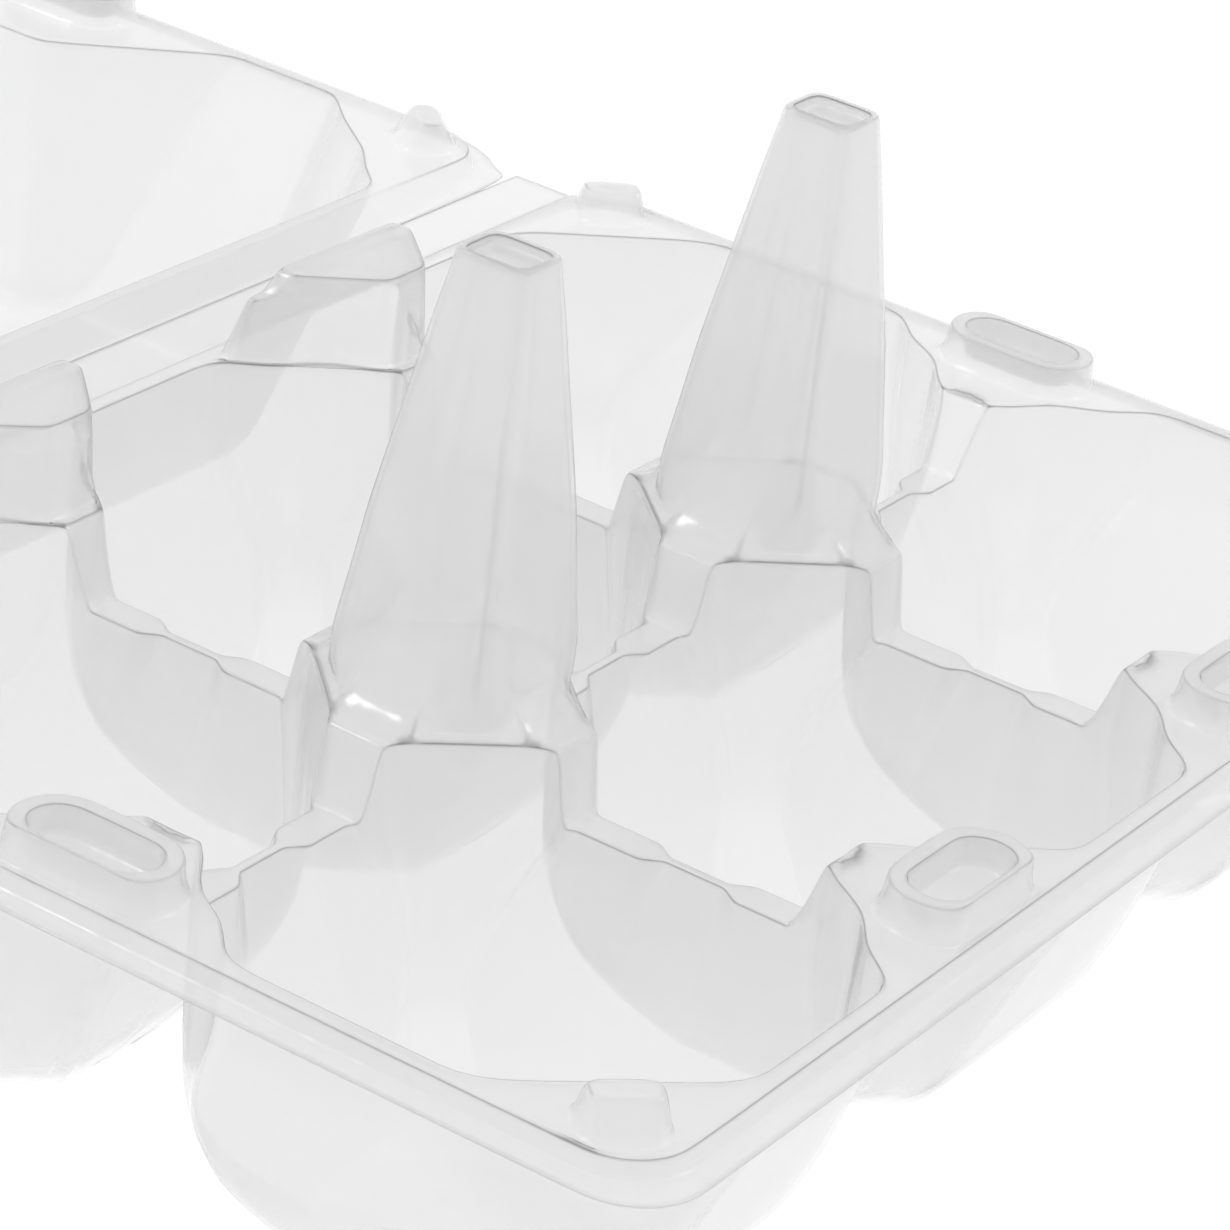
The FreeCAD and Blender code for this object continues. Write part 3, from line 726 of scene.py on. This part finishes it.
# Share of the haze that lets light through, gloss seen head on and added at a grazing angle.
TRANSLUCENT = 0.45
GLOSS_ROUGHNESS, GLOSS_FACING, GLOSS_GRAZING, GLOSS_POWER = 0.12, 0.045, 0.9, 5


def clear_plastic():
    """Clear formed plastic: see-through with a light haze, painted shade along sharp downward bends and a
    painted highlight along upward bends, glossier at a grazing angle, with the fine vertical draw lines
    and ripples of a stretched sheet."""
    material = bpy.data.materials.new("clear_plastic")
    material.use_nodes = True
    tree = material.node_tree
    tree.nodes.clear()
    link = tree.links.new

    bends = []
    for name, y in (("bend_down", 500), ("bend_up", 300)):
        marked = node(tree, "ShaderNodeAttribute", -1100, y)
        marked.attribute_name = name
        bend = node(tree, "ShaderNodeMath", -900, y)
        bend.operation = "POWER"
        bend.inputs[1].default_value = BEND_NARROW
        link(marked.outputs["Fac"], bend.inputs[0])
        bends.append(bend)
    # Along downward bends the haze thickens and turns dark: painted shade.
    haze_and_painted_shade_cover = node(tree, "ShaderNodeMapRange", -650, 550)
    haze_and_painted_shade_cover.inputs["To Min"].default_value = HAZE
    haze_and_painted_shade_cover.inputs["To Max"].default_value = BEND_HAZE_AND_SHADE
    link(bends[0].outputs[0], haze_and_painted_shade_cover.inputs["Value"])
    painted_shade_tone = node(tree, "ShaderNodeMix", -650, 250)
    painted_shade_tone.data_type = "RGBA"
    painted_shade_tone.inputs[6].default_value = HAZE_COLOUR
    painted_shade_tone.inputs[7].default_value = PAINTED_BEND_SHADE
    link(bends[0].outputs[0], painted_shade_tone.inputs[0])
    # Along upward bends the haze turns white: a painted highlight.
    painted_shade_and_highlight_tone = node(tree, "ShaderNodeMix", -450, 250)
    painted_shade_and_highlight_tone.data_type = "RGBA"
    painted_shade_and_highlight_tone.inputs[7].default_value = PAINTED_BEND_HIGHLIGHT
    link(bends[1].outputs[0], painted_shade_and_highlight_tone.inputs[0])
    link(painted_shade_tone.outputs[2], painted_shade_and_highlight_tone.inputs[6])

    see_through = node(tree, "ShaderNodeBsdfTransparent", -200, 400)
    see_through.inputs["Color"].default_value = CLEAR_COLOUR
    front = node(tree, "ShaderNodeBsdfDiffuse", -200, 250)
    link(painted_shade_and_highlight_tone.outputs[2], front.inputs["Color"])
    back = node(tree, "ShaderNodeBsdfTranslucent", -200, 100)
    link(painted_shade_and_highlight_tone.outputs[2], back.inputs["Color"])
    haze = node(tree, "ShaderNodeMixShader", 0, 200, Fac=TRANSLUCENT)
    link(front.outputs[0], haze.inputs[1])
    link(back.outputs[0], haze.inputs[2])
    hazy_with_painted_bends = node(tree, "ShaderNodeMixShader", 200, 300)
    link(haze_and_painted_shade_cover.outputs[0], hazy_with_painted_bends.inputs[0])
    link(see_through.outputs[0], hazy_with_painted_bends.inputs[1])
    link(haze.outputs[0], hazy_with_painted_bends.inputs[2])
    gloss = node(tree, "ShaderNodeBsdfGlossy", 150, -50, Roughness=GLOSS_ROUGHNESS)
    gloss.inputs["Color"].default_value = (1, 1, 1, 1)
    facing = node(tree, "ShaderNodeLayerWeight", -400, 700, Blend=0.5)
    steep = node(tree, "ShaderNodeMath", -200, 700)
    steep.operation = "POWER"
    steep.inputs[1].default_value = GLOSS_POWER
    link(facing.outputs["Facing"], steep.inputs[0])
    grazing = node(tree, "ShaderNodeMath", 0, 700)
    grazing.operation = "MULTIPLY_ADD"
    grazing.inputs[1].default_value = GLOSS_GRAZING
    grazing.inputs[2].default_value = GLOSS_FACING
    link(steep.outputs[0], grazing.inputs[0])
    shown = node(tree, "ShaderNodeMixShader", 400, 150)
    link(grazing.outputs[0], shown.inputs[0])
    link(hazy_with_painted_bends.outputs[0], shown.inputs[1])
    link(gloss.outputs[0], shown.inputs[2])
    output = node(tree, "ShaderNodeOutputMaterial", 650, 150)
    link(shown.outputs[0], output.inputs["Surface"])

    place = node(tree, "ShaderNodeTexCoord", -1300, -200)
    stretch = node(tree, "ShaderNodeMapping", -1100, -200)
    stretch.inputs["Scale"].default_value = (260, 260, 18)
    link(place.outputs["Object"], stretch.inputs["Vector"])
    streaks = node(tree, "ShaderNodeTexNoise", -900, -200, Scale=1.0, Detail=2.0, Roughness=0.5)
    link(stretch.outputs[0], streaks.inputs["Vector"])
    waves = node(tree, "ShaderNodeTexNoise", -900, -450, Scale=70.0, Detail=2.0, Roughness=0.45)
    link(place.outputs["Object"], waves.inputs["Vector"])
    both = node(tree, "ShaderNodeMath", -650, -300)
    both.operation = "ADD"
    link(streaks.outputs[0], both.inputs[0])
    link(waves.outputs[0], both.inputs[1])
    bump = node(tree, "ShaderNodeBump", -400, -250, Strength=0.3, Distance=0.0006)
    link(both.outputs[0], bump.inputs["Height"])
    link(bump.outputs[0], gloss.inputs["Normal"])
    return material


plastic = clear_plastic()


# ---------------------------------------------------------------- tray
def build_tray():
    net = Net(TRAY_MIDDLE)
    level = []
    for column in (-1, 0, 1):
        for row in (-1, 1):
            build_cell(net, column, row)
            rim = [land for edge, land in cell_rim(column, row)]
            placed = [(x + column * 2 * HALF_X, y + row * HALF_Y, z) for x, y, z in rim]
            for a, b in zip(placed, placed[1:] + placed[:1]):
                if abs(a[2]) + abs(b[2]) < 1e-6:
                    level.append((a, b))
    for end in build_dividers(net):
        level.extend(zip(end, end[1:]))
    holes = chained(level)
    for side_name, side in (("left", -1), ("right", 1)):
        build_post(net, side, height_of(f"roof_post_{side_name}") - SHEET_THICK)
        holes.append(build_stop(net, side))
        for where, long_x in (("end", False), ("front", True)):
            name = f"tower_{where}_{side_name}"
            holes.append(build_tower(net, middle_of(name, TRAY_MIDDLE), long_x, height_of(name), RIM_Y))
        for where, row in (("front", -1), ("rear", 1)):
            name = f"peg_{where}_{side_name}"
            turn = -side * row * math.pi / 4
            holes.append(build_peg(net, middle_of(name, TRAY_MIDDLE), turn, height_of(name)))
    outline = build_rim(net, RIM_Y, STRIP_FROM, TRAY_STEPS, TRAY_NOTCH)
    net.land(outline, holes, 0)
    return net.build("tray_sheet", plastic)


tray = build_tray()


# ---------------------------------------------------------------- hinge strip
def build_strip():
    net = Net(TRAY_MIDDLE)
    rows = []
    for y in (STRIP_FROM + SEAM, STRIP_FROM + 0.4, 57.3, 59.5, STRIP_TO - 0.4, STRIP_TO - SEAM):
        row = [(-STRIP_HALF, y, STRIP_Z), (0.3 - STRIP_HALF, y, STRIP_Z)]
        row.extend((mix(-STRIP_HALF, STRIP_HALF, i / 20), y, STRIP_Z) for i in range(1, 20))
        row.extend([(STRIP_HALF - 0.3, y, STRIP_Z), (STRIP_HALF, y, STRIP_Z)])
        rows.append(row)
    net.loft(rows, closed=False)
    return net.build("hinge_strip_sheet", plastic)


strip = build_strip()


# ---------------------------------------------------------------- lid
# Corners of the bowl's mouth and of its roof, right half, from the hinge side to the front.
BOWL_TOP = (
    (56.2, -50.7), (59.6, -47.2), (63.6, -43.9), (68.7, -37.7), (73.3, -33.2), (73.3, -19.9), (59.5, -5.2),
    (59.5, 5.2), (73.3, 19.9), (73.3, 33.2), (68.7, 37.7), (63.6, 43.9), (59.6, 47.2), (56.2, 50.6),
    (38.6, 50.6), (27.2, 39.0), (21.8, 39.0), (10.4, 50.6),
)
BOWL_LOW = (
    (50.5, -42.2), (53.0, -40.4), (56.3, -37.2), (60.4, -32.2), (64.0, -28.4), (64.0, -9.2), (60.2, -4.6),
    (60.2, 4.6), (64.0, 9.2), (64.0, 28.4), (60.4, 32.2), (56.3, 37.2), (53.0, 40.4), (50.5, 42.0),
    (31.2, 42.0), (28.2, 39.6), (20.8, 39.6), (17.8, 42.0),
)


def bowl_ring(corners):
    """Points all round, as many for the mouth as for the roof."""
    half = list(corners)
    whole = half + [(-x, y) for x, y in half[::-1]]
    ring = []
    for a, b, length in zip(whole, whole[1:] + whole[:1], BOWL_LENGTHS):
        shares = (0.08, 0.5, 0.92) if length < 9 else (0.06, 0.3, 0.5, 0.7, 0.94)
        if length > 30:
            shares = tuple((i + 0.35) / 12 for i in range(1, 11))
            shares = (0.02,) + shares + (0.98,)
        ring.extend((mix(a[0], b[0], s), mix(a[1], b[1], s)) for s in shares)
    return ring


whole_top = list(BOWL_TOP) + [(-x, y) for x, y in BOWL_TOP[::-1]]
BOWL_LENGTHS = [math.dist(a, b) for a, b in zip(whole_top, whole_top[1:] + whole_top[:1])]
ROOF_Z = SHEET_THICK - LID_MIDDLE.z
# Each step down the bowl: height share, share of the way from mouth to roof outline, inset.
BOWL_STEPS = (
    (0.016, 0.0, 0), (0.1, 0.09, 0), (0.25, 0.24, 0), (0.5, 0.49, 0), (0.75, 0.74, 0), (0.88, 0.86, 0.1),
    (0.945, 0.93, 0.6), (0.98, 0.98, 1.6), (0.997, 1, 3.0), (1, 1, 4.0), (1, 1, 5.0),
)


def build_lid():
    net = Net(LID_MIDDLE)
    top, low = bowl_ring(BOWL_TOP), bowl_ring(BOWL_LOW)
    away = []
    for i, p in enumerate(top):
        before, after = top[i - 1], top[(i + 1) % len(top)]
        dx, dy = after[0] - before[0], after[1] - before[1]
        size = math.hypot(dx, dy)
        away.append((dy / size, -dx / size))
    mouth = [(x + HOLD * nx, y + HOLD * ny, 0) for (x, y), (nx, ny) in zip(top, away)]
    rings = [mouth, [(x, y, 0) for x, y in top]]
    for depth, share, inset in BOWL_STEPS:
        ring = []
        for a, b in zip(top, low):
            x, y = mix(a[0], b[0], share), mix(a[1], b[1], share)
            size = math.hypot(x, y)
            ring.append((x * (1 - inset / size), y * (1 - inset / size), ROOF_Z * depth))
        rings.append(ring)
    net.loft(rings)
    net.land(rings[-1], [], ROOF_Z)
    holes = [mouth]
    for side_name, side in (("left", -1), ("right", 1)):
        for where, long_x in (("end", False), ("front", True)):
            name = f"lid_tower_{where}_{side_name}"
            holes.append(build_tower(net, middle_of(name, LID_MIDDLE), long_x, height_of(name), LID_RIM_Y))
        for where, row in (("front", 1), ("rear", -1)):
            name = f"lid_peg_{where}_{side_name}"
            turn = -side * row * math.pi / 4
            holes.append(build_peg(net, middle_of(name, LID_MIDDLE), turn, height_of(name)))
    hinge_at = STRIP_TO + TRAY_MIDDLE.y - LID_MIDDLE.y
    outline = build_rim(net, LID_RIM_Y, hinge_at, LID_STEPS, LID_NOTCH)
    net.land(outline, holes, 0)
    return net.build("lid_sheet", plastic)


lid = build_lid()

# ---------------------------------------------------------------- bodies
bodies = frame["record"]["behaviour"]["bodies"]


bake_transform(tray)
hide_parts(*bodies["tray"])
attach(strip, "hinge")
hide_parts(*bodies["hinge"])
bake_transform(lid)
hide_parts(*bodies["lid"])

# ---------------------------------------------------------------- floor, light and camera
FLOOR_HALF, FLOOR_GAP = 6.0, 0.0002
floor_mesh = bpy.data.meshes.new("floor")
floor_mesh.from_pydata([(x * FLOOR_HALF, y * FLOOR_HALF, 0) for x, y in QUARTERS], [], [(0, 1, 2, 3)])
floor = bpy.data.objects.new("floor", floor_mesh)
bpy.context.scene.collection.objects.link(floor)
floor.location.z = cad_low.z - FLOOR_GAP
paint = bpy.data.materials.new("floor_paint")
paint.use_nodes = True
base = paint.node_tree.nodes["Principled BSDF"]
base.inputs["Base Color"].default_value = (0.05, 0.05, 0.05, 1)
base.inputs["Roughness"].default_value = 0.9
base.inputs["Specular IOR Level"].default_value = 0.1
base.inputs["Emission Color"].default_value = (1, 1, 1, 1)
base.inputs["Emission Strength"].default_value = 1.0
floor_mesh.materials.append(paint)

SKY_COLOUR = (0.93, 0.93, 0.93, 1)
world = bpy.data.worlds.new("studio")
bpy.context.scene.world = world
world.use_nodes = True
background = world.node_tree.nodes["Background"]
background.inputs["Color"].default_value = SKY_COLOUR
# Sky and floor are even, so that rays sent towards them on purpose would gain nothing.
world.cycles.sampling_method = "NONE"
paint.cycles.emission_sampling = "NONE"

LAMP_AIM = Vector((0, 0, 0.03))


def soft_light(name, place, size, power):
    data = bpy.data.lights.new(name, "AREA")
    data.shape = "RECTANGLE"
    data.size, data.size_y = size
    data.energy = power
    data.use_shadow = False
    lamp = bpy.data.objects.new(name, data)
    bpy.context.scene.collection.objects.link(lamp)
    lamp.location = place
    towards = LAMP_AIM - Vector(place)
    lamp.rotation_euler = towards.to_track_quat("-Z", "Y").to_euler()


soft_light("key_light", (-0.5, 0.9, 1.3), (0.5, 0.3), 2.4)
soft_light("fill_light", (0.9, -0.9, 1.1), (0.4, 0.3), 1.5)

CAMERA_AZIMUTH, CAMERA_ELEVATION, CAMERA_ROLL = -60.39, 26.27, 8.98
CAMERA_DISTANCE = 0.4231
CAMERA_AIM = Vector((-4.2, -2.9, 0))
camera_data = bpy.data.cameras.new("camera")
camera = bpy.data.objects.new("camera", camera_data)
bpy.context.scene.collection.objects.link(camera)
camera_data.sensor_width = 36
camera_data.lens = 146.85
camera_data.clip_start = 0.01
spin = Matrix.Rotation(math.radians(CAMERA_AZIMUTH), 4, "Z")
lean = Matrix.Rotation(math.radians(90 - CAMERA_ELEVATION), 4, "X")
roll = Matrix.Rotation(math.radians(CAMERA_ROLL), 4, "Z")
turn = spin @ lean @ roll
target = (TRAY_MIDDLE + CAMERA_AIM) * MM
camera.matrix_world = Matrix.Translation(target + turn.to_3x3() @ Vector((0, 0, CAMERA_DISTANCE))) @ turn
scene = bpy.context.scene
scene.camera = camera
scene.view_settings.view_transform = "Standard"
scene.cycles.transparent_max_bounces = 64
scene.cycles.max_bounces = 3
scene.cycles.diffuse_bounces = 3
scene.cycles.glossy_bounces = 1
